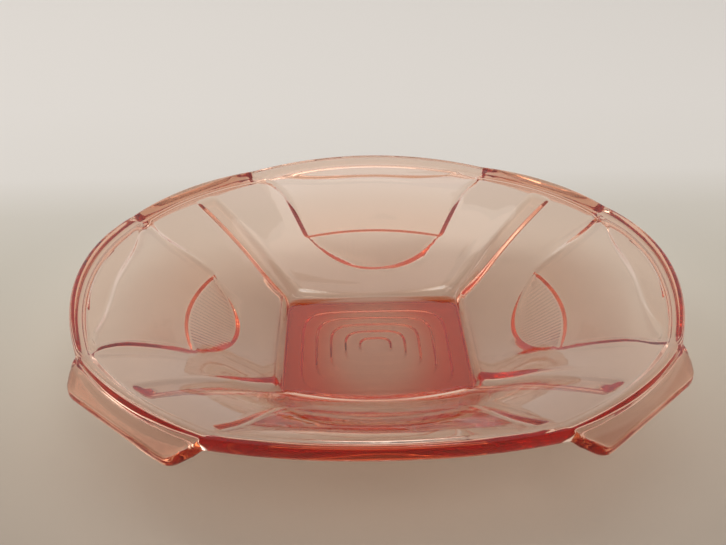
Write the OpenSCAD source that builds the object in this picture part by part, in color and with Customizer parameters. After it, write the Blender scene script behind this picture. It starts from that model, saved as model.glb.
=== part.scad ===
// Square-footed glass candy dish: one pressing, drawn as the zones of its mould.
// Millimetres, +Z up, origin under the middle of the foot, on the table.

/* [Base] */
// Half of the flat square floor's width
floor_half = 34; // [28:0.5:41]
// Corner radius of the square floor
floor_corner_r = 6; // [4:0.2:10]
// Thickness of the glass under the floor
base_t = 7; // [5.5:0.5:10]
// Height of the foot's upright side, below the walls
foot_h = 2.6; // [2:0.1:3.5]
// Number of sunk steps under the base
step_count = 5; // [1:1:5]
// Half width of the smallest, innermost step
step_inner_half = 6; // [3:0.2:8]
// Tread between one step and the next
step_tread = 5.5; // [2:0.1:5.6]
// Rise of each step
step_rise = 0.6; // [0.2:0.02:0.8]

/* [Wall] */
// Thickness of the wall, measured upright
wall_t = 3.8; // [3:0.1:6]
// Width of the steep bank round the floor
bank_w = 3; // [2:0.1:5]
// Height of the wall's inner face above the floor at the top of the bank, mid side
bank_h = 1.6; // [0.5:0.1:3]
// Radius where the wall is steepest
belly_r = 63; // [52:1:76]
// Height of the inner face above the floor there
belly_h = 12.4; // [9:0.2:15]
// Slope of the wall there, in degrees
belly_slope = 31; // [24:0.5:37.5]
// Slope of the wall where it leaves the bank, in degrees
toe_slope = 14; // [8:0.5:20]
// Slope of the wall where it reaches the rim, in degrees
brim_slope = 17; // [10:0.5:24]

/* [Rim] */
// Radius of the rim at the four corners
rim_r = 110; // [91:1:132]
// Height of the rim's top above the table at the ends of its arcs
rim_h = 38.4; // [32:0.2:46.2]
// Height of the bead that thickens the rim, measured upright
rim_t = 6.4; // [3:0.1:8]
// Width of the lip, from its outer edge inwards
lip_w = 4.8; // [3:0.1:7]
// Width of the bead's flat underside and round, from the rim's edge inwards
bead_w = 2.6; // [2.1:0.1:3.2]
// Bevel on the rim's edges
rim_bevel = 1.2; // [0.3:0.1:1.5]
// Half of the angle that each side's arc of rim spans
arc_half_angle = 28; // [23:0.5:34]
// How far the middle of a side's arc lies inside the corner circle
arc_inset = 2.75; // [0:0.05:6]
// How far the middle of a side's arc stands above its ends
arc_rise = 2.7; // [0:0.1:5]
// How far the middle of a corner's rim stands above its ends
corner_rise = 0.8; // [0:0.05:2]

/* [Tongue panel] */
// Radius, from the dish's axis, of the ledge across each panel
ledge_r = 71; // [66:0.5:78]
// Radius, from the dish's axis, of the bottom of each panel
tongue_r = 53.3; // [50:0.1:58]
// Radius of the panel's rounded bottom end
tongue_round_r = 41; // [34:0.5:60]
// Angle between a panel's side and the end of its arc of rim
tongue_in_angle = 3.8; // [3:0.1:5]
// How far the panel's round bottom stands out of the outer face
tongue_out = 2.6; // [1:0.05:3.2]
// What is left of that at the ledge
crescent_out = 0.3; // [0:0.02:0.8]
// How far the panel stands out just above the ledge
ledge_out = 2.8; // [1:0.05:3.4]
// What is left of that under the lip
panel_out = 0.6; // [0:0.05:1]
// Width of the soft step round a panel
step_w = 3; // [2.5:0.1:3.6]
// Distance from the rim's corner radius in to the step up to the lip, mid side
brow_in = 16; // [13:0.2:19.4]
// The same at the ends of the step
brow_end_in = 7.4; // [6.6:0.1:9]
// How far the panel's inner face falls to the foot of that step
brow_drop = 1.1; // [0.4:0.05:1.6]
// Width of that step
brow_w = 1.8; // [1.4:0.1:2.4]
// Turn of the pressed panels and ribs against the square foot, in degrees
pattern_turn = 1.4; // [0:0.05:2]

/* [Corner rib] */
// Half width of the rib
rib_half = 3.8; // [3:0.1:5]
// How far the rib stands out of the outer face
rib_out = 2.2; // [1:0.05:3]
// Distance from the rim's corner radius in to the rib's top end
rib_top_in = 8.5; // [7:0.1:10.4]
// Half width of the channel inside the corner, at the lip
channel_half_top = 9; // [7:0.2:11]
// Half width of the channel at the floor
channel_half_foot = 6; // [5:0.2:8]
// Depth of the channel at the floor's corner
channel_foot = 3.6; // [1:0.1:5]

/* [Tab handles] */
// How far a tab's straight outer edge stands out past the rim's corner radius
tab_out = 3.8; // [3:0.1:5]
// How much shorter than the chord of its arc a tab's outer edge is, at each end
tab_end_in = 6.2; // [5:0.1:8]
// Drop of the tab's top from the chord of the rim to its outer edge
tab_drop = 5.2; // [3:0.1:8]
// Thickness of the tab
tab_t = 5; // [3:0.1:6]
// Step between the rim's top and the top of the tab
tab_step = 0.5; // [0.3:0.05:1]

/* [Hidden] */
SIDES = ["right", "back", "left", "front"];
CORNERS = ["back_right", "back_left", "front_left", "front_right"];

glass_colour = [0.86, 0.58, 0.49];
quarter = 90;
half_quarter = quarter / 2;
corner_half_angle = half_quarter - arc_half_angle;
arc_columns = 28;
corner_columns = 16;
arc_step = 2 * arc_half_angle / arc_columns;
corner_step = 2 * corner_half_angle / corner_columns;
// Least height of the walls above the floor, at the foot of the channels
floor_margin = 0.2;
// Share of the climb over which the ribs rise from the floor's corners
rib_start = 0.08;
// How far a tab's outline stays clear of the rim at its two ends
tab_end_gap = 0.4;
// Least upright step from the rim's bevel to a tab's top
tab_root_gap = 0.1;
// How far the cutter for the steps starts below the table
cut_below = 1;
rim_z = rim_h;
floor_z = base_t;

// Centre and radius of a side's arc of rim, through its middle and its two ends
arc_end = rim_r * [cos(arc_half_angle), sin(arc_half_angle)];
arc_mid = rim_r - arc_inset;
arc_centre = (arc_mid ^ 2 - rim_r ^ 2) / (2 * (arc_mid - arc_end[0]));
arc_r = arc_mid - arc_centre;

// Height and slope of the wall's inner face at the rim's inner edge
brim_r = rim_r - lip_w;
lip_fall = lip_w * tan(brim_slope);

function clamp01(t) = min(1, max(0, t));
function smooth(t) = let (c = clamp01(t)) c * c * (3 - 2 * c);
function hump(t) = abs(t) >= 1 ? 0 : (1 + cos(180 * t)) / 2;

// Angle from the middle of the nearest side, -45 to 45
function side_angle(a) = let (m = a - quarter * floor(a / quarter)) m > half_quarter ? m - quarter : m;
// Angle from the nearest corner's diagonal, 0 to 45
function corner_angle(a) = half_quarter - abs(side_angle(a));

// Distance from the axis to the floor's rounded square outline
function floor_edge(a) =
    let (
        s = abs(side_angle(a)),
        flat = floor_half - floor_corner_r,
        m = flat * sqrt(2),
        d = half_quarter - s
    )
    floor_half * tan(s) <= flat
        ? floor_half / cos(s)
        : m * cos(d) + sqrt(floor_corner_r ^ 2 - (m * sin(d)) ^ 2);

// Distance from the axis to the rim's outer edge
function rim_edge(a) =
    let (s = abs(side_angle(a)))
    s >= arc_half_angle
        ? rim_r
        : arc_centre * cos(s) + sqrt(arc_r ^ 2 - (arc_centre * sin(s)) ^ 2);

// Height of the rim's top
function rim_top(a) =
    let (
        s = abs(side_angle(a)),
        c = corner_angle(a)
    )
    s < arc_half_angle
        ? rim_z + arc_rise * (1 - (s / arc_half_angle) ^ 2)
        : rim_z + corner_rise * (1 - (c / corner_half_angle) ^ 2);

function lip_edge(a) = rim_edge(a) - lip_w;

// Cubic from (x0, z0) with slope m0 to (x1, z1) with slope m1
function cubic(x, x0, z0, m0, x1, z1, m1) =
    let (
        w = x1 - x0,
        t = (x - x0) / w
    )
    z0 * (1 + 2 * t) * (1 - t) ^ 2 + m0 * w * t * (1 - t) ^ 2
        + z1 * t ^ 2 * (3 - 2 * t) + m1 * w * t ^ 2 * (t - 1);

// Inner face of the round wall, before the channels and the bank are sunk in it
function cone_z(r, a) =
    let (
        toe_r = floor_half + bank_w,
        toe_z = floor_z + bank_h,
        belly_z = floor_z + belly_h,
        brim = lip_edge(a),
        brim_z = rim_top(a) - lip_fall
    )
    r < toe_r ? toe_z + (r - toe_r) * tan(toe_slope)
    : r < belly_r ? cubic(r, toe_r, toe_z, tan(toe_slope), belly_r, belly_z, tan(belly_slope))
    : r < brim ? cubic(r, belly_r, belly_z, tan(belly_slope), brim, brim_z, tan(brim_slope))
    : brim_z + (r - brim) * tan(brim_slope);

// Share of the way from the floor's edge to the lip
function climb(r, a) = clamp01((r - floor_edge(a)) / (lip_edge(a) - floor_edge(a)));
function channel_depth(r, a) =
    let (
        up = climb(r, a),
        half = channel_half_foot + (channel_half_top - channel_half_foot) * up
    )
    channel_foot * (1 - up) ^ 2 * hump(r * sin(corner_angle(a)) / half);

// Smooth inner face of the dish
function plain_inner_z(r, a) =
    let (
        wall = cone_z(r, a) - channel_depth(r, a),
        bank = (r - floor_edge(a)) / bank_w
    )
    bank <= 0 ? floor_z
    : floor_z + (max(wall, floor_z + floor_margin) - floor_z) * smooth(bank);

// Width of the ring over which the pattern takes up its turn
tongue_clear = 10;
// The pressed pattern's own angle: it is turned against the foot, but not at the floor nor at the rim
function pattern_angle(r, a) =
    a + pattern_turn * smooth((r - tongue_r + tongue_clear) / tongue_clear)
        * smooth((lip_edge(a) + lip_w - r) / lip_w);
function soft_step(t, w) = smooth(t / w + 0.5);

// Distance from the axis to the rounded bottom of a panel
function tongue_edge(s) =
    let (
        c = tongue_r + tongue_round_r,
        under = tongue_round_r ^ 2 - (c * sin(s)) ^ 2
    )
    c * cos(s) - sqrt(max(0, under));
tongue_half_angle = arc_half_angle - tongue_in_angle;
// Distance from the axis to the step up from a panel to the lip, bowed in mid side
function brow(s) =
    rim_r - brow_in + (brow_in - brow_end_in) * min(1, abs(s) / tongue_half_angle) ^ 3;
function beside(r, s) = soft_step((tongue_half_angle - abs(s)) * r * PI / 180, step_w);

// Inner face of the dish: each panel falls to the foot of the step under the lip
function inner_z(r, a) =
    let (
        s = side_angle(pattern_angle(r, a)),
        fall = clamp01((r - ledge_r) / (rim_r - brow_in - ledge_r)) * soft_step(brow(s) - r, brow_w)
    )
    plain_inner_z(r, a) - brow_drop * fall * beside(r, s);

// How far the panels and the ribs stand out of the outer face
function relief(r, a) =
    let (
        s = side_angle(pattern_angle(r, a)),
        bottom = tongue_edge(s),
        up_crescent = clamp01((r - bottom) / max(1, ledge_r - bottom)),
        crescent = (tongue_out + (crescent_out - tongue_out) * up_crescent) * soft_step(r - bottom, step_w),
        up_panel = clamp01((r - ledge_r) / (rim_r - brow_in - ledge_r)),
        panel = ledge_out + (panel_out - ledge_out) * up_panel,
        out = crescent + (panel - crescent) * soft_step(r - ledge_r, step_w),
        across = rib_half - r * sin(half_quarter - abs(s)),
        rib = rib_out * soft_step(across, step_w) * smooth(climb(r, a) / rib_start)
            * soft_step(rim_r - rib_top_in - r, step_w)
    )
    max(out * beside(r, s), rib);

// Outer face of the dish: the foot's side turns into the wall, and the wall into the rim's bead
function outer_z(r, a) =
    let (
        from_foot = smooth((r - floor_edge(a)) / (2 * bank_w)),
        wall = plain_inner_z(r, a) - wall_t - relief(r, a)
    )
    (1 - from_foot) * foot_h + from_foot * wall;

// Radii of the wall's rows at one angle: bank, lower wall, crescent, panel, lip
function spread(r0, r1, n) = [for (i = [0 : n - 1]) r0 + (r1 - r0) * i / n];
function rows(a) =
    let (
        f = floor_edge(a),
        b = f + bank_w,
        t = max(min(tongue_edge(side_angle(a)), ledge_r - 1.7 * step_w), b + 1.3 * step_w),
        l = lip_edge(a),
        h = step_w / 2,
        w = min(brow(side_angle(a)), l - brow_w),
        v = brow_w / 2
    )
    concat(spread(f, b, 3), spread(b, t - h, 3), spread(t - h, t + h, 4), spread(t + h, ledge_r - h, 2),
           spread(ledge_r - h, ledge_r + h, 4), spread(ledge_r + h, w - v, 4), spread(w - v, w + v, 3),
           spread(w + v, l, 1), [l]);

function place(r, a, z) = [r * cos(a), r * sin(a), z];

// A closed skin over a row of like outlines, each in its own upright plane
module skin(outlines) {
    n = len(outlines[0]);
    last = len(outlines) - 1;
    sides = [
        for (i = [0 : last - 1], j = [0 : n - 1])
            let (
                k = (j + 1) % n,
                p = i * n + j,
                q = i * n + k
            )
            each [[p, p + n, q], [q, p + n, q + n]]
    ];
    start = [for (j = [0 : n - 1]) j];
    end = [for (j = [0 : n - 1]) last * n + n - 1 - j];
    polyhedron(points = [for (o = outlines) each o], faces = concat(sides, [start, end]));
}

function wall_outline(a) =
    let (r = rows(a))
    concat([for (x = r) place(x, a, inner_z(x, a))],
           [for (i = [len(r) - 1 : -1 : 0]) place(r[i], a, outer_z(r[i], a))]);

function rim_outline(a) =
    let (
        l = lip_edge(a),
        r = rim_edge(a),
        e = rim_bevel,
        top = rim_top(a)
    )
    [
        place(l, a, inner_z(l, a)),
        place(r - e, a, top),
        place(r, a, top - e),
        place(r, a, top - rim_t + e),
        place(r - e, a, top - rim_t),
        place(r - bead_w, a, top - rim_t),
        place(l, a, outer_z(l, a))
    ];

// Top of a tab: a plane that falls from the chord between the rim's corners
tab_chord = rim_r * cos(corner_half_angle);
tab_reach = rim_r + tab_out;
tab_half = rim_r * sin(corner_half_angle) - tab_end_in;
function tab_top(x) =
    rim_z - tab_step - tab_drop * (x - tab_chord) / (tab_reach - tab_chord);
// Distance from the axis to the tab's outline: straight edge, then slanted ends
function tab_edge(a) =
    let (
        c = corner_angle(a),
        edge_angle = atan(tab_half / tab_reach),
        straight = tab_reach / cos(min(c, edge_angle)),
        turn = clamp01((c - edge_angle) / (corner_half_angle - edge_angle))
    )
    straight + (rim_r + tab_end_gap - straight) * turn ^ 2;
function tab_outline(a) =
    let (
        l = lip_edge(a),
        e = rim_bevel,
        t = tab_edge(a),
        c = cos(corner_angle(a)),
        root = min(tab_top(rim_r * c), rim_top(a) - e - tab_root_gap),
        tip = min(tab_top(t * c), root - tab_root_gap)
    )
    [
        place(l, a, inner_z(l, a)),
        place(rim_r - e, a, rim_top(a)),
        place(rim_r, a, rim_top(a) - e),
        place(rim_r + tab_root_gap, a, root),
        place(t, a, tip),
        place(t, a, tip - tab_t + e),
        place(max(t - e, rim_r + tab_end_gap / 2), a, tip - tab_t),
        place(rim_r - e, a, root - tab_t),
        place(rim_r - bead_w, a, rim_top(a) - rim_t),
        place(l, a, outer_z(l, a))
    ];

module rounded_square(half, r) {
    square([2 * half, 2 * (half - r)], center = true);
    square([2 * (half - r), 2 * half], center = true);
    for (x = [-1, 1], y = [-1, 1])
        translate([x * (half - r), y * (half - r)])
            circle(r = r, $fn = 32);
}

function column_angles() = [
    for (q = [0 : 3])
        each concat(
            [for (i = [0 : arc_columns - 1]) q * quarter - arc_half_angle + i * arc_step],
            [for (i = [0 : corner_columns - 1]) q * quarter + arc_half_angle + i * corner_step]
        )
];

// Solid glass foot with its sunk square steps; the dish stands on the outermost border
module base() {
    color(glass_colour)
    difference() {
        linear_extrude(base_t)
            polygon([for (a = column_angles()) floor_edge(a) * [cos(a), sin(a)]]);
        for (i = [0 : step_count - 1])
            translate([0, 0, -cut_below])
                linear_extrude(cut_below + step_rise * (step_count - i))
                    rounded_square(step_inner_half + i * step_tread,
                                   floor_corner_r * (i + 1) / (step_count + 1));
    }
}

module side_wall(i) {
    color(glass_colour)
    skin([
        for (k = [0 : arc_columns])
            wall_outline(quarter * i - arc_half_angle + k * arc_step)
    ]);
}

module corner_rib(i) {
    color(glass_colour)
    skin([
        for (k = [0 : corner_columns])
            wall_outline(quarter * i + arc_half_angle + k * corner_step)
    ]);
}

module rim_arc(i) {
    color(glass_colour)
    skin([
        for (k = [0 : arc_columns])
            rim_outline(quarter * i - arc_half_angle + k * arc_step)
    ]);
}

module tab_handle(i) {
    color(glass_colour)
    skin([
        for (k = [0 : corner_columns])
            tab_outline(quarter * i + arc_half_angle + k * corner_step)
    ]);
}

base();
for (i = [0 : 3]) {
    side_wall(i);
    corner_rib(i);
    rim_arc(i);
    tab_handle(i);
}
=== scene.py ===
# A pressed glass candy dish: pink glass, a square foot, four scooped sides and a sloping tab at each corner.
import bpy
from math import asin, atan2, cos, degrees, exp, hypot, log, pi, radians, sin, sqrt, tan
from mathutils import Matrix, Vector


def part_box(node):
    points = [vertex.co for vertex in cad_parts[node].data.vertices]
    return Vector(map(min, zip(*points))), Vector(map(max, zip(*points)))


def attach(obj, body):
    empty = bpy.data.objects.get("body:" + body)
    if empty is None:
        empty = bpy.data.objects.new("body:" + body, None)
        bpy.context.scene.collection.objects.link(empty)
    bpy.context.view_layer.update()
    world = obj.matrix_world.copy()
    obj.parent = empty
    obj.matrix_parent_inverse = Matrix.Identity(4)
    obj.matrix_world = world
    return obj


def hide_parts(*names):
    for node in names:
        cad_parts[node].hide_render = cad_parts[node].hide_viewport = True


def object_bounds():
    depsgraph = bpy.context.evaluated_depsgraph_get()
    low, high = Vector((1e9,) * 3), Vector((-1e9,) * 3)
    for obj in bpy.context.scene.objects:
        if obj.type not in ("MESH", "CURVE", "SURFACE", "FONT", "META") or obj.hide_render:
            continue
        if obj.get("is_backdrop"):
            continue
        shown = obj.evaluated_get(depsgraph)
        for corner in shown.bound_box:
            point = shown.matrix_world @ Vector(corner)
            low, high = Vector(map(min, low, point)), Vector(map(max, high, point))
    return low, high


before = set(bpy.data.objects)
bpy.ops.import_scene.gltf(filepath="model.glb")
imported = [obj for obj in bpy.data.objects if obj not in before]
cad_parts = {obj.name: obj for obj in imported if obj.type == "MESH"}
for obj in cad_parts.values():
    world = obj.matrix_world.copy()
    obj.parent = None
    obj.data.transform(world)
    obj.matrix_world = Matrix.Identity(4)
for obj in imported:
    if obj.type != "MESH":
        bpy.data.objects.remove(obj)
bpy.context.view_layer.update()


# ---------------------------------------------------------------------- Camera
# The dish is looked down into from in front, as a person sitting at the table sees it.
# The camera is hand held, a touch off level and off centre.
MM = 0.001
RIM_TOP = 38.4 * MM
EYE_DISTANCE = 362.3 * MM
EYE_YAW = radians(-1.146)
EYE_PITCH = radians(28.036)
EYE_ROLL = radians(-0.648)
EYE_ASIDE = -4.39 * MM
EYE_ABOVE = -1.30 * MM
LENS = 49.27

eye_back = Vector((sin(EYE_YAW) * cos(EYE_PITCH), -cos(EYE_YAW) * cos(EYE_PITCH), sin(EYE_PITCH)))
level_right = Vector((cos(EYE_YAW), sin(EYE_YAW), 0))
level_up = eye_back.cross(level_right)
eye_right = cos(EYE_ROLL) * level_right + sin(EYE_ROLL) * level_up
eye_up = eye_back.cross(eye_right)
eye = Vector((0, 0, RIM_TOP)) + eye_back * EYE_DISTANCE + eye_right * EYE_ASIDE + eye_up * EYE_ABOVE

bpy.ops.object.select_all(action="DESELECT")
bpy.ops.object.camera_add(location=eye)
camera = bpy.context.object
camera.name = "camera"
camera.data.lens = LENS
camera.data.clip_start = 0.01
camera.rotation_mode = "QUATERNION"
turned = camera.matrix_world.to_3x3()
turned.col[0], turned.col[1], turned.col[2] = eye_right, eye_up, eye_back
camera.rotation_quaternion = turned.to_quaternion()
bpy.context.scene.camera = camera


# ---------------------------------------------------------------------- Dish
# The real dish is one pressing of molten glass, so it is one closed skin of glass here too, and
# it stands for every zone of the frame: a seam between two zones would show as a false mirror.
# It is a grid wrapped round the axis: columns run from the middle of the floor up the inside,
# over the rim or the tab, down the outside and under the foot, back to the middle.
base_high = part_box("base")[1]
FLOOR_HALF = base_high.x / MM
FLOOR_Z = base_high.z / MM
FLOOR_CORNER_R = 6
FOOT_H = 2.6
FOOT_ROUND = 0.5
STEPS = 5
STEP_INNER_HALF = 6
STEP_TREAD = 5.5
STEP_RISE = 0.6
STEP_SLANT = 0.35

BANK_W = 3
BANK_H = 1.6
BELLY_R = 63
BELLY_H = 12.4
BELLY_SLOPE = radians(31)
TOE_SLOPE = radians(14)
BRIM_SLOPE = radians(17)
WALL_T = 3.8

ARC_HALF_ANGLE = 28
RIM_R = 110
RIM_H = 38.4
RIM_T = 6.4
BEAD_W = 2.6
RIM_ROUND = 1.2
RIM_UNDER_W = 2.2
RIM_UNDER_H = 4.6
LIP_W = 4.8
LIP_CREASE = 0.25
ARC_INSET = 2.75
ARC_RISE = 2.7
CORNER_RISE = 0.8

LEDGE_R = 71
LEDGE_OUT = 2.8
PANEL_TOP_OUT = 0.6
RISER_W = 3.0
BROW_W = 1.8
TONGUE_R = 53.3
TONGUE_ROUND_R = 41
TONGUE_OUT = 2.6
CRESCENT_END_OUT = 0.3
BROW_R = 94
BROW_END_R = 102.6
BROW_DOWN = 1.1
TONGUE_TURN = -1.4
TURN_FROM_R = 42
TURN_WIDTH = 10
TONGUE_FOOT_ANGLE = 24.2
TONGUE_SPREAD = 0.04
TONGUE_FLARE = 2.6
FLARE_R = 90
FLUTES = 20
FLUTE_ANGLE = 1.9
FLUTE_DEPTH = 0.06

RIB_HALF = 3.8
RIB_OUT = 2.2
RIB_TOP_R = 101.5
RIB_ANGLE = 3.2
CHANNEL_HALF_TOP = 9
CHANNEL_HALF_FOOT = 6
CHANNEL_FOOT = 3.6

TAB_REACH = 113.8
TAB_HALF = 26
TAB_DROP = 5.2
TAB_T = 5.0
TAB_STEP = 0.5
TAB_ROUND = 1.3
TAB_FILLET = 1.1
TAB_CORNER = 1.2
TAB_BLEND_ANGLE = 1.2
CORNER_HALF_ANGLE = 45 - ARC_HALF_ANGLE


def mix(a, b, t):
    return a + (b - a) * t


def clamp(t):
    return min(1.0, max(0.0, t))


def smooth(t):
    t = clamp(t)
    return t * t * (3 - 2 * t)


def hump(t):
    return 0.0 if abs(t) >= 1 else (1 + cos(pi * t)) / 2


def floor_edge(s):
    """Distance from the axis to the floor's rounded square outline, s degrees from a side's middle."""
    s = radians(abs(s))
    flat = FLOOR_HALF - FLOOR_CORNER_R
    if FLOOR_HALF * tan(s) <= flat:
        return FLOOR_HALF / cos(s)
    middle = flat * sqrt(2)
    turn = pi / 4 - s
    return middle * cos(turn) + sqrt(FLOOR_CORNER_R ** 2 - (middle * sin(turn)) ** 2)


arc_mid = RIM_R - ARC_INSET
arc_end_x = RIM_R * cos(radians(ARC_HALF_ANGLE))
arc_centre = (arc_mid ** 2 - RIM_R ** 2) / (2 * (arc_mid - arc_end_x))
arc_r = arc_mid - arc_centre


def rim_edge(s):
    """Distance from the axis to the rim: a flatter arc on each side, the round of the dish at a corner."""
    if abs(s) >= ARC_HALF_ANGLE:
        return RIM_R
    s = radians(s)
    return arc_centre * cos(s) + sqrt(arc_r ** 2 - (arc_centre * sin(s)) ** 2)


def rim_top(s):
    s = abs(s)
    if s < ARC_HALF_ANGLE:
        return RIM_H + ARC_RISE * (1 - (s / ARC_HALF_ANGLE) ** 2)
    return RIM_H + CORNER_RISE * (1 - ((45 - s) / CORNER_HALF_ANGLE) ** 2)


def lip_edge(s):
    return rim_edge(s) - LIP_W


def cubic(x, x0, z0, slope0, x1, z1, slope1):
    w = x1 - x0
    t = (x - x0) / w
    start = z0 * (1 + 2 * t) * (1 - t) ** 2 + tan(slope0) * w * t * (1 - t) ** 2
    return start + z1 * t ** 2 * (3 - 2 * t) + tan(slope1) * w * t ** 2 * (t - 1)


def cone_z(r, s):
    """Height of the round wall's inner face, before the bank and the channels are sunk in it."""
    toe_r = FLOOR_HALF + BANK_W
    toe_z = FLOOR_Z + BANK_H
    belly_z = FLOOR_Z + BELLY_H
    brim = lip_edge(s)
    brim_z = rim_top(s) - LIP_W * tan(BRIM_SLOPE)
    if r < toe_r:
        return toe_z + (r - toe_r) * tan(TOE_SLOPE)
    if r < BELLY_R:
        return cubic(r, toe_r, toe_z, TOE_SLOPE, BELLY_R, belly_z, BELLY_SLOPE)
    if r < brim:
        return cubic(r, BELLY_R, belly_z, BELLY_SLOPE, brim, brim_z, BRIM_SLOPE)
    return brim_z + (r - brim) * tan(BRIM_SLOPE)


def climb(r, s):
    return clamp((r - floor_edge(s)) / (lip_edge(s) - floor_edge(s)))


def channel_depth(r, s):
    """The corner of the well opens upwards into a shallow channel, which dies out up the wall."""
    up = climb(r, s)
    across = r * sin(radians(45 - abs(s))) / mix(CHANNEL_HALF_FOOT, CHANNEL_HALF_TOP, up)
    return CHANNEL_FOOT * (1 - up) ** 2 * hump(across)


def plain_inner_z(r, s):
    bank = (r - floor_edge(s)) / BANK_W
    if bank <= 0:
        return FLOOR_Z
    wall = max(cone_z(r, s) - channel_depth(r, s), FLOOR_Z + 0.2)
    return FLOOR_Z + (wall - FLOOR_Z) * smooth(bank)


def turn_at(r):
    """The plunger that presses the pattern sits a touch turned against the mould of the rim and foot."""
    return TONGUE_TURN * smooth((r - TURN_FROM_R) / TURN_WIDTH) * smooth((RIM_R - LIP_W + 2 - r) / 6)


def from_middle(r, s):
    """Angle from the middle of the nearest panel, as the plunger is turned."""
    s -= turn_at(r)
    return s + 90 if s < -45 else s


def tongue_edge(s):
    """Distance from the axis to the round bottom of a side's panel."""
    centre = TONGUE_R + TONGUE_ROUND_R
    under = TONGUE_ROUND_R ** 2 - (centre * sin(radians(s))) ** 2
    return centre * cos(radians(s)) - sqrt(max(0.0, under))


def tongue_side(r):
    """Half of the angle that a panel spans: it flares towards the lip."""
    flare = clamp((r - FLARE_R) / (RIM_R - LIP_W - FLARE_R))
    return TONGUE_FOOT_ANGLE + TONGUE_SPREAD * max(0.0, r - LEDGE_R) + TONGUE_FLARE * flare ** 2


def brow(s):
    """Distance from the axis to the step up from a panel to the lip, bowed in mid side."""
    return mix(BROW_R, BROW_END_R, min(1.0, abs(s) / TONGUE_FOOT_ANGLE) ** 3)


def riser(t, width=RISER_W):
    """A soft step's face, t mm up from its middle."""
    return smooth(t / width + 0.5)


def beside_panel(r, s):
    return riser(radians(tongue_side(r) - abs(s)) * r)


def inner_z(r, s):
    """The plunger leaves the inner face smooth but for each panel's fall to the step under the lip."""
    a = from_middle(r, s)
    fall = BROW_DOWN * clamp((r - LEDGE_R) / (BROW_R - LEDGE_R)) * riser(brow(a) - r, BROW_W)
    return plain_inner_z(r, s) - fall * beside_panel(r, a)


def relief(r, s):
    """How far the panels and the ribs stand out of the outer face: each panel climbs in two terraces."""
    s = from_middle(r, s)
    bottom = tongue_edge(s)
    crescent = mix(TONGUE_OUT, CRESCENT_END_OUT, clamp((r - bottom) / max(1.0, LEDGE_R - bottom)))
    panel = mix(LEDGE_OUT, PANEL_TOP_OUT, clamp((r - LEDGE_R) / (BROW_R - LEDGE_R)))
    out = mix(crescent * riser(r - bottom), panel, riser(r - LEDGE_R)) * beside_panel(r, s)
    across = RIB_HALF - r * sin(radians(45 - abs(s)))
    rib = RIB_OUT * riser(across) * smooth(climb(r, s) / 0.08) * riser(RIB_TOP_R - r)
    return max(out, rib)


def flutes(r, s):
    """Fine radial flutes pressed in the outer face behind each crescent."""
    s = from_middle(r, s)
    ends = smooth((FLUTES * FLUTE_ANGLE / 2 - abs(s)) / FLUTE_ANGLE)
    inside = smooth((r - tongue_edge(s) - 1) / 2) * smooth((LEDGE_R - 0.6 - r) / 1.5)
    return FLUTE_DEPTH * cos(2 * pi * s / FLUTE_ANGLE) * ends * inside


def outer_z(r, s):
    """The outer face: the foot's side turns into the wall, and the wall into the bead under the lip."""
    from_foot = smooth((r - floor_edge(s)) / (2 * BANK_W))
    wall = mix(FOOT_H, plain_inner_z(r, s) - WALL_T + flutes(r, s) - relief(r, s), from_foot)
    bead = clamp((r - rim_edge(s) + BEAD_W + (LIP_W - BEAD_W)) / (LIP_W - BEAD_W))
    return mix(wall, rim_top(s) - RIM_T, bead)


def tab_top(x):
    """Height of a tab's top, which falls away from the chord between the ends of its arc of rim."""
    chord = RIM_R * cos(radians(CORNER_HALF_ANGLE))
    return RIM_H - TAB_STEP - TAB_DROP * (x - chord) / (TAB_REACH - chord)


def tab_edge(s):
    """Distance from the axis to a tab's outline: a straight edge, slanted ends and rounded corners."""
    turn = radians(45 - abs(s))
    end_x = (RIM_R + 0.3) * cos(radians(CORNER_HALF_ANGLE))
    end_y = (RIM_R + 0.3) * sin(radians(CORNER_HALF_ANGLE))
    straight = TAB_REACH / cos(turn)
    slant = (TAB_REACH * end_y - TAB_HALF * end_x) / (
        sin(turn) * (TAB_REACH - end_x) + cos(turn) * (end_y - TAB_HALF))
    nearer = min(straight, slant)
    spare = exp((nearer - straight) / TAB_CORNER) + exp((nearer - slant) / TAB_CORNER)
    return max(nearer - TAB_CORNER * log(spare), RIM_R)


def arc_points(r, z, radius, start, end, count):
    """Points on a round edge, from one direction to another, in degrees above outwards."""
    return [
        (r + radius * cos(radians(mix(start, end, i / (count - 1)))),
         z + radius * sin(radians(mix(start, end, i / (count - 1)))))
        for i in range(count)
    ]


def resample(outline, count):
    """The same outline with its points spread evenly along it."""
    runs = [hypot(b[0] - a[0], b[1] - a[1]) for a, b in zip(outline, outline[1:])]
    total = sum(runs)
    out = [outline[0]]
    at = 0
    gone = 0.0
    for i in range(1, count - 1):
        want = total * i / (count - 1)
        while gone + runs[at] < want:
            gone += runs[at]
            at += 1
        t = (want - gone) / runs[at]
        a, b = outline[at], outline[at + 1]
        out.append((mix(a[0], b[0], t), mix(a[1], b[1], t)))
    return out + [outline[-1]]


EDGE_POINTS = 20
OVER_POINTS = 6


def plain_rim(s):
    r = rim_edge(s)
    top = rim_top(s)
    e = RIM_ROUND
    over = arc_points(r - e, top - e, e, 90 + degrees(BRIM_SLOPE), 0, OVER_POINTS)
    under = [
        (r - RIM_UNDER_W * (1 - cos(radians(a))), top - RIM_T + RIM_UNDER_H * (1 - sin(radians(a))))
        for a in range(0, 91, 10)
    ]
    return over, under


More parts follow.
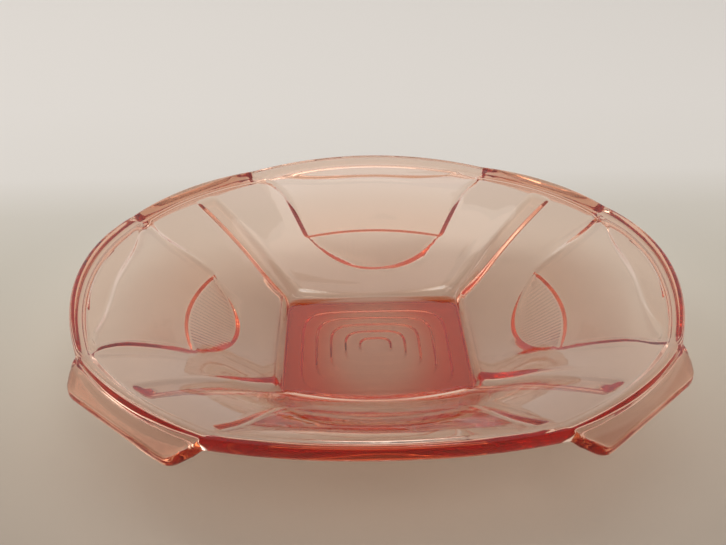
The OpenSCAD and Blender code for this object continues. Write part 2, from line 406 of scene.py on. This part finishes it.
def tab_rim(s):
    """Outline from the rim's top round a tab: the rim's face, the fillet, the tab's top, edge and under."""
    top = rim_top(s)
    e = RIM_ROUND
    reach = tab_edge(s)
    out = cos(radians(45 - abs(s)))
    over = arc_points(RIM_R - e, top - e, e, 90 + degrees(BRIM_SLOPE), 0, OVER_POINTS)
    root = min(tab_top(RIM_R * out), top - e - 0.05)
    tip = min(tab_top(reach * out), root)
    fall = atan2(root - tip, max(reach - RIM_R, 0.01))
    bend = min(TAB_FILLET, max(0.05, (reach - RIM_R) / 3), max(0.05, (top - e - root) / 2))
    end = min(TAB_ROUND, max(0.05, (reach - RIM_R) / 2))
    outline = arc_points(RIM_R + bend, root + bend, bend, 180, 270 - degrees(fall), 6)
    outline += arc_points(reach - end, tip - end, end, 90 - degrees(fall), 0, 6)
    outline += arc_points(reach - end, tip - TAB_T + end, end, 0, -90 - degrees(fall), 6)
    outline += [(RIM_R - e, min(root, top - e) - TAB_T)]
    return over, outline


def edge_outline(s):
    """The rim's rounded edge as EDGE_POINTS points; within a corner it turns into the tab's outline."""
    over, under = plain_rim(s)
    plain = over + resample([over[-1]] + under, EDGE_POINTS - OVER_POINTS + 1)[1:]
    share = smooth((CORNER_HALF_ANGLE - (45 - abs(s))) / TAB_BLEND_ANGLE)
    if share == 0:
        return plain
    over, outline = tab_rim(s)
    tab = over + resample([over[-1]] + outline, EDGE_POINTS - OVER_POINTS + 1)[1:]
    return [(mix(p[0], t[0], share), mix(p[1], t[1], share)) for p, t in zip(plain, tab)]


def step_edge(s, i):
    """Distance from the axis to the i-th sunk step under the base: a square with bowed sides."""
    half = STEP_INNER_HALF + i * STEP_TREAD
    power = 3 + 0.6 * i
    c, d = cos(radians(abs(s))), sin(radians(abs(s)))
    return half / (c ** power + d ** power) ** (1 / power)


rows = []


def wall_rows(count, start, end, height):
    """Rows between two lines round the dish, on a face whose height is known."""
    for i in range(count):
        t = i / count
        rows.append(lambda s, t=t: (lambda r: (r, height(r, s)))(mix(start(s), end(s), t)))


edge_cache = {}


def edge_row(k):
    def point(s):
        key = round(s, 6)
        if key not in edge_cache:
            edge_cache[key] = edge_outline(s)
        return edge_cache[key][k]
    return point


def lip_z(r, s):
    """The lip rises with the wall, with a fine crease along its inner edge."""
    t = clamp((r - lip_edge(s)) / (LIP_W - RIM_ROUND))
    top = rim_top(s) - RIM_ROUND * (1 - cos(BRIM_SLOPE))
    return mix(inner_z(lip_edge(s), s), top, t) + LIP_CREASE * sin(pi * t)


rows.append(lambda s: (0.0, FLOOR_Z))
rows.append(lambda s: (floor_edge(s) - 2.5, FLOOR_Z))
wall_rows(7, lambda s: floor_edge(s) - 0.6, lambda s: floor_edge(s) + BANK_W, inner_z)


def bottom_row(s):
    """The line that rows follow: a panel's round bottom, kept clear of the ledge beyond its ends."""
    return max(min(tongue_edge(s), LEDGE_R - 4.4), floor_edge(s) + 8)


def follow_rows(line, height, width, up):
    """Close rows across a soft step whose middle lies along a line round the dish."""
    for past in (-0.5, -0.36, -0.22, -0.08, 0.08, 0.22, 0.36, 0.5):
        rows.append(lambda s, past=past * width * up: (lambda r: (r, height(r, s)))(line(s) + past))


wall_rows(12, lambda s: floor_edge(s) + BANK_W, lambda s: brow(s) - BROW_W, inner_z)
follow_rows(brow, inner_z, BROW_W, 1)
wall_rows(1, lambda s: brow(s) + BROW_W, lip_edge, inner_z)
wall_rows(3, lip_edge, lambda s: edge_row(0)(s)[0], lip_z)
for k in range(EDGE_POINTS):
    rows.append(edge_row(k))
wall_rows(2, lambda s: edge_row(EDGE_POINTS - 1)(s)[0] - 0.5, lambda s: rim_edge(s) - BEAD_W, outer_z)
wall_rows(3, lambda s: rim_edge(s) - BEAD_W, lambda s: rim_edge(s) - BEAD_W - (LIP_W - BEAD_W), outer_z)
wall_rows(1, lambda s: rim_edge(s) - BEAD_W - (LIP_W - BEAD_W), lambda s: RIB_TOP_R + RISER_W / 2, outer_z)
wall_rows(4, lambda s: RIB_TOP_R + RISER_W / 2, lambda s: RIB_TOP_R - RISER_W / 2, outer_z)
wall_rows(7, lambda s: RIB_TOP_R - RISER_W / 2, lambda s: LEDGE_R + RISER_W / 2 + 0.3, outer_z)
follow_rows(lambda s: LEDGE_R, outer_z, RISER_W, -1)
wall_rows(3, lambda s: LEDGE_R - RISER_W / 2 - 0.2, lambda s: bottom_row(s) + RISER_W / 2 + 0.2, outer_z)
follow_rows(bottom_row, outer_z, RISER_W, -1)
wall_rows(4, lambda s: bottom_row(s) - RISER_W / 2 - 0.2, lambda s: floor_edge(s) + 2 * BANK_W, outer_z)
wall_rows(7, lambda s: floor_edge(s) + 2 * BANK_W, floor_edge, outer_z)
rows.append(lambda s: (floor_edge(s), FOOT_H))
for turn in (0, 30, 60, 90):
    rows.append(lambda s, turn=radians(turn): (
        floor_edge(s) - FOOT_ROUND * (1 - cos(turn)), FOOT_ROUND * (1 - sin(turn))))
for i in reversed(range(STEPS)):
    low = STEP_RISE * (STEPS - 1 - i)
    for aside, up in ((0.7, 0), (0.1, 0.06), (-0.1 - STEP_SLANT, 0.94), (-0.7 - STEP_SLANT, 1)):
        rows.append(lambda s, i=i, aside=aside, z=low + STEP_RISE * up: (step_edge(s, i) + aside, z))
rows.append(lambda s: (0.0, STEP_RISE * STEPS))


# Columns of one quarter, in degrees from the middle of its side: close together where flutes,
# the panels' sides, the tabs' ends and the ribs need them
def spread(start, end, count):
    return [mix(start, end, i / count) for i in range(count)]


flute_end = FLUTES * FLUTE_ANGLE / 2
near_side = [TONGUE_FOOT_ANGLE + past for past in (-1.1, -0.8, -0.5, -0.25, 0.0, 0.25, 0.5, 0.8, 1.1)]
near_rib = [45 - RIB_ANGLE + past for past in (-1.2, -0.8, -0.5, -0.25, 0.0, 0.25, 0.5, 0.8, 1.2)]
half_quarter = (
    spread(0, flute_end, FLUTES * 2)
    + spread(flute_end, near_side[0], 4)
    + near_side
    + spread(near_side[-1] + 0.6, ARC_HALF_ANGLE, 4)
    + spread(ARC_HALF_ANGLE, 33, 10)
    + spread(33, near_rib[0], 9)
    + near_rib
    + spread(near_rib[-1] + 0.5, 45, 3)
)
quarter = [-45] + [-a for a in half_quarter[:0:-1]] + half_quarter + [45]


def follow(s, r):
    """Slides a column sideways so that it follows a panel's side and a rib's edge up the wall."""
    a = abs(s)
    rib = 45 - degrees(asin(RIB_HALF / max(r, TURN_FROM_R)))
    side = tongue_side(r)
    knots = ((0, 0), (flute_end, flute_end), (TONGUE_FOOT_ANGLE, side),
             (33, 33), (45 - RIB_ANGLE, rib), (45, 45))
    for (a0, b0), (a1, b1) in zip(knots, knots[1:]):
        if a <= a1:
            moved = mix(b0, b1, (a - a0) / (a1 - a0))
            return (moved if s > 0 else -moved) + turn_at(r)
    return s


def place(s, row):
    """A point of a column on a row: its angle, its distance from the axis and its height."""
    r, z = row(s)
    moved = follow(s, r)
    r, z = row(moved)
    return moved, r, z


column_count = 4 * (len(quarter) - 1)
bpy.ops.object.select_all(action="DESELECT")
bpy.ops.mesh.primitive_grid_add(x_subdivisions=column_count, y_subdivisions=len(rows) - 1, size=1)
dish = bpy.context.object
dish.name = "dish"
points = []
for row in rows:
    line = [place(s, row) for s in quarter[:-1]]
    around = []
    for k in range(4):
        around += [
            (r * MM * cos(radians(90 * k + s)), r * MM * sin(radians(90 * k + s)), z * MM)
            for s, r, z in line
        ]
    points += around + [around[0]]
for vertex, point in zip(dish.data.vertices, points):
    vertex.co = point

bpy.ops.object.mode_set(mode="EDIT")
bpy.ops.mesh.select_all(action="SELECT")
bpy.ops.mesh.remove_doubles(threshold=0.000002)
bpy.ops.mesh.normals_make_consistent(inside=False)
bpy.ops.object.mode_set(mode="OBJECT")
bpy.ops.object.shade_smooth()


class Wire:
    """A socket in a material; arithmetic on it adds Math nodes."""

    def __init__(self, finish, socket):
        self.finish = finish
        self.socket = socket

    def maths(self, operation, *values):
        return self.finish.node("ShaderNodeMath", {"operation": operation}, dict(enumerate(values)))[0]

    def __add__(self, other):
        return self.maths("ADD", self, other)

    def __radd__(self, other):
        return self.maths("ADD", other, self)

    def __sub__(self, other):
        return self.maths("SUBTRACT", self, other)

    def __rsub__(self, other):
        return self.maths("SUBTRACT", other, self)

    def __mul__(self, other):
        return self.maths("MULTIPLY", self, other)

    def __rmul__(self, other):
        return self.maths("MULTIPLY", other, self)


class Finish:
    """A material and its nodes; node() adds one with its settings and the values of its sockets."""

    def __init__(self, name):
        self.material = bpy.data.materials.new(name)
        self.material.use_nodes = True
        self.tree = self.material.node_tree
        self.tree.nodes.clear()

    def node(self, kind, settings=None, sockets=None):
        made = self.tree.nodes.new(kind)
        for key, value in (settings or {}).items():
            setattr(made, key, value)
        for key, value in (sockets or {}).items():
            if isinstance(value, Wire):
                self.tree.links.new(value.socket, made.inputs[key])
            else:
                made.inputs[key].default_value = value
        return [Wire(self, out) for out in made.outputs]


GLASS_TINT = (0.965, 0.905, 0.875, 1)
GLASS_ABSORBS = (0.9, 0.36, 0.0, 1)
# Orange-red surface colour for the foot's underside: painted shade standing in for coloured light and shade
# thrown through the thick glass
FOOT_PAINTED_SHADE = (0.97, 0.30, 0.10, 1)
# Darker, redder surface colour for the tabs: painted shade, not a different glass
TAB_PAINTED_SHADE = (0.8, 0.56, 0.47, 1)
GLASS_DENSITY = 58
GLASS_IOR = 1.52
FLOOR_SKIN = (0.0068, 0.0075)
FOOT_EDGE = (0.0341, 0.0348)
TAB_START = (0.1095, 0.1108)


def pink_glass():
    """Pressed soda glass, pink through and through, with the slow ripple of fire polish; painted orange
    shade on the foot's underside and painted darker shade on the tabs.
    """
    glass = Finish("pink_glass")
    place = glass.node("ShaderNodeTexCoord")[3]
    ripple = glass.node("ShaderNodeTexNoise", {}, {"Vector": place, "Scale": 70, "Detail": 2})[0]
    skin = glass.node("ShaderNodeTexNoise", {}, {"Vector": place, "Scale": 420, "Detail": 3})[0]
    bump = glass.node("ShaderNodeBump", {}, {
        "Height": ripple + skin * 0.06, "Strength": 0.5, "Distance": 0.00012})[0]
    parts = glass.node("ShaderNodeSeparateXYZ", {}, {"Vector": place})
    worn = glass.node("ShaderNodeMapRange", {"interpolation_type": "SMOOTHSTEP"}, {
        "Value": parts[2], "From Min": 0.0006, "From Max": 0.0, "To Min": 0.0, "To Max": 0.25})[0]
    low = glass.node("ShaderNodeMapRange", {"interpolation_type": "SMOOTHSTEP"}, {
        "Value": parts[2], "From Min": FLOOR_SKIN[1], "From Max": FLOOR_SKIN[0],
        "To Min": 0.0, "To Max": 1.0})[0]
    flat = glass.node("ShaderNodeCombineXYZ", {}, {"X": parts[0], "Y": parts[1] * 0.55})[0]
    from_axis = glass.node("ShaderNodeVectorMath", {"operation": "LENGTH"}, {0: flat})[1]
    off_x = parts[0].maths("ABSOLUTE", parts[0])
    off_y = parts[1].maths("ABSOLUTE", parts[1])
    aside = off_x.maths("MAXIMUM", off_x, off_y)
    within = glass.node("ShaderNodeMapRange", {"interpolation_type": "SMOOTHSTEP"}, {
        "Value": aside, "From Min": FOOT_EDGE[1], "From Max": FOOT_EDGE[0], "To Min": 0.0, "To Max": 1.0})[0]
    outward = glass.node("ShaderNodeMapRange", {"interpolation_type": "SMOOTHSTEP"}, {
        "Value": from_axis, "From Min": 0.010, "From Max": 0.030, "To Min": 0.2, "To Max": 1.0})[0]
    # Painted orange shade on the foot's underside, strongest to its left and right
    foot_painted_shade = glass.node("ShaderNodeMix", {"data_type": "RGBA"}, {
        0: low * outward * within, 6: GLASS_TINT, 7: FOOT_PAINTED_SHADE})[2]
    level = glass.node("ShaderNodeCombineXYZ", {}, {"X": parts[0], "Y": parts[1]})[0]
    radius = glass.node("ShaderNodeVectorMath", {"operation": "LENGTH"}, {0: level})[1]
    in_tab = glass.node("ShaderNodeMapRange", {"interpolation_type": "SMOOTHSTEP"}, {
        "Value": radius, "From Min": TAB_START[0], "From Max": TAB_START[1],
        "To Min": 0.0, "To Max": 1.0})[0]
    # The tabs take the painted shade colour; the rest keeps the glass tint with the foot's painted shade
    tint_and_painted_shade = glass.node("ShaderNodeMix", {"data_type": "RGBA"}, {
        0: in_tab, 6: foot_painted_shade, 7: TAB_PAINTED_SHADE})[2]
    surface = glass.node("ShaderNodeBsdfPrincipled", {}, {
        "Base Color": tint_and_painted_shade, "Roughness": skin * 0.03 + worn, "IOR": GLASS_IOR,
        "Transmission Weight": 1.0, "Normal": bump})[0]
    depth = glass.node("ShaderNodeVolumeAbsorption", {}, {
        "Color": GLASS_ABSORBS, "Density": GLASS_DENSITY})[0]
    glass.node("ShaderNodeOutputMaterial", {}, {"Surface": surface, "Volume": depth})
    return glass.material


dish.data.materials.clear()
dish.data.materials.append(pink_glass())
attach(dish, "root")
SIDES = ("right", "back", "left", "front")
CORNERS = ("back_right", "back_left", "front_left", "front_right")
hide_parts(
    "base",
    *[f"side_wall_{side}" for side in SIDES],
    *[f"rim_arc_{side}" for side in SIDES],
    *[f"corner_rib_{corner}" for corner in CORNERS],
    *[f"tab_handle_{corner}" for corner in CORNERS],
)


# ---------------------------------------------------------------------- Table and light
# A pale matt table top, lighter beyond the dish, darkened in front of it by painted shade and brightened
# round it by a painted pool of light, under the even light of a room with windows.
TABLE_SIZE = 6.0
TABLE_GAP = 0.00005

bpy.ops.object.select_all(action="DESELECT")
bpy.ops.mesh.primitive_grid_add(
    x_subdivisions=8, y_subdivisions=8, size=TABLE_SIZE, location=(0, 0, -TABLE_GAP))
table = bpy.context.object
table.name = "table"
bpy.ops.object.transform_apply(location=True, rotation=False, scale=True)


# Colours from the near edge to the far one, each with its place along Y in metres; the darker ones in front
# of the dish are painted shade
NEAR_Y = -0.9
FAR_Y = 0.3
TABLE_COLOURS_AND_SHADE = (
    (NEAR_Y, (0.62, 0.58, 0.54)),
    (-0.35, (0.36, 0.31, 0.26)),
    (-0.10, (0.37, 0.31, 0.255)),
    (-0.056, (0.40, 0.34, 0.28)),
    (0.006, (0.46, 0.41, 0.345)),
    (0.083, (0.53, 0.49, 0.425)),
    (0.135, (0.57, 0.535, 0.48)),
    (0.185, (0.67, 0.64, 0.605)),
    (FAR_Y, (0.69, 0.66, 0.63)),
)


def table_painted_shade_and_light():
    """Matt paint that pales with distance, darker in front of the dish as painted shade, with a painted pool
    of light round the dish, where the glass throws light down.
    """
    paint = Finish("table_painted_shade_and_light")
    place = paint.node("ShaderNodeTexCoord")[3]
    parts = paint.node("ShaderNodeSeparateXYZ", {}, {"Vector": place})
    along = paint.node("ShaderNodeMapRange", {}, {
        "Value": parts[1], "From Min": NEAR_Y, "From Max": FAR_Y, "To Min": 0.0, "To Max": 1.0})[0]
    ramp = paint.tree.nodes.new("ShaderNodeValToRGB")
    paint.tree.links.new(along.socket, ramp.inputs[0])
    stops = [((y - NEAR_Y) / (FAR_Y - NEAR_Y), colour) for y, colour in TABLE_COLOURS_AND_SHADE]
    ramp.color_ramp.elements[0].position = stops[0][0]
    ramp.color_ramp.elements[0].color = (*stops[0][1], 1)
    ramp.color_ramp.elements[1].position = stops[-1][0]
    ramp.color_ramp.elements[1].color = (*stops[-1][1], 1)
    for at, colour in stops[1:-1]:
        ramp.color_ramp.elements.new(at).color = (*colour, 1)
    flat = paint.node("ShaderNodeCombineXYZ", {}, {"X": parts[0], "Y": parts[1]})[0]
    away = paint.node("ShaderNodeVectorMath", {"operation": "LENGTH"}, {0: flat})[1]
    # Painted pool of light round the dish: the paint brightens up to 1.4 times near the dish
    painted_light_pool = paint.node("ShaderNodeMapRange", {"interpolation_type": "SMOOTHSTEP"}, {
        "Value": away, "From Min": 0.19, "From Max": 0.06, "To Min": 1.0, "To Max": 1.4})[0]
    colour = paint.node("ShaderNodeVectorMath", {"operation": "SCALE"}, {
        0: Wire(paint, ramp.outputs[0]), "Scale": painted_light_pool})[0]
    surface = paint.node("ShaderNodeBsdfPrincipled", {}, {
        "Base Color": colour, "Roughness": 0.75, "Specular IOR Level": 0.2})[0]
    paint.node("ShaderNodeOutputMaterial", {}, {"Surface": surface})
    return paint.material


table.data.materials.append(table_painted_shade_and_light())
table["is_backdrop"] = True

WINDOWS = (
    ("window_left", (-0.9, 0.5, 1.0), (0.5, 0.7), 3.0),
    ("window_behind", (0.35, -0.9, 1.1), (0.35, 0.5), 1.5),
    ("ceiling", (0.1, 0.3, 1.6), (1.4, 1.0), 4.0),
)
for name, spot, size, power in WINDOWS:
    bpy.ops.object.light_add(type="AREA", location=spot)
    light = bpy.context.object
    light.name = name
    light.data.shape = "RECTANGLE"
    light.data.size, light.data.size_y = size
    light.data.energy = power
    light.data.color = (1.0, 0.985, 0.96)
    light.rotation_mode = "QUATERNION"
    light.rotation_quaternion = Vector(spot).to_track_quat("Z", "Y")

world = bpy.data.worlds.new("room")
bpy.context.scene.world = world
world.use_nodes = True
world.node_tree.nodes["Background"].inputs["Color"].default_value = (0.95, 0.93, 0.9, 1)
world.node_tree.nodes["Background"].inputs["Strength"].default_value = 0.8

scene = bpy.context.scene
scene.view_settings.view_transform = "Standard"
scene.cycles.max_bounces = 64
scene.cycles.transmission_bounces = 64
scene.cycles.glossy_bounces = 48
scene.cycles.diffuse_bounces = 4

low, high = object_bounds()
